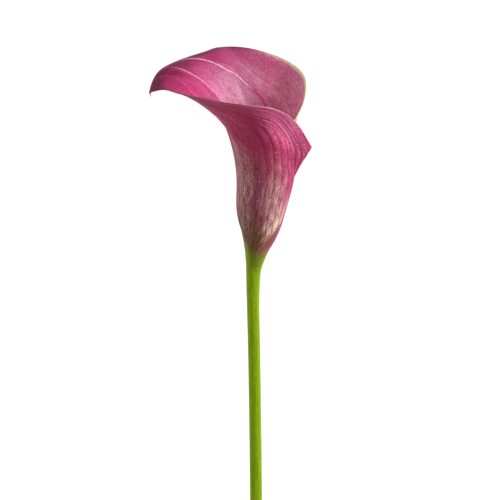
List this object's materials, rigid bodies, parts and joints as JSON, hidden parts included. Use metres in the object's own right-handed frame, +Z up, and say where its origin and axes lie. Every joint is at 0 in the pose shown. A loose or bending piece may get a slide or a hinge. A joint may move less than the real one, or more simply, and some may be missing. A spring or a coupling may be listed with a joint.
{
  "type": "calla lily flower",
  "caption": "Cut calla lily lying on its side: a rolled pink trumpet with a pointed tip on a smooth green stem, and a spadix inside it.",
  "frame": {"origin": "centre of the bounding box's bottom face, on the surface that the flower lies on", "axes": "+Z up from that surface, +Y along the stem from its cut end to the trumpet's mouth, +X to the front of the trumpet, where its edges overlap; the spathe's pointed tip is at -X"},
  "size_m": [0.0874, 0.3157, 0.0756],
  "materials": {
    "stem_skin": "satin",
    "spathe_petal": "satin",
    "spadix_florets": "matte"
  },
  "bodies": {
    "root": {"stem": "stem_skin", "spathe": "spathe_petal", "spadix": "spadix_florets"}
  },
  "joints": []
}
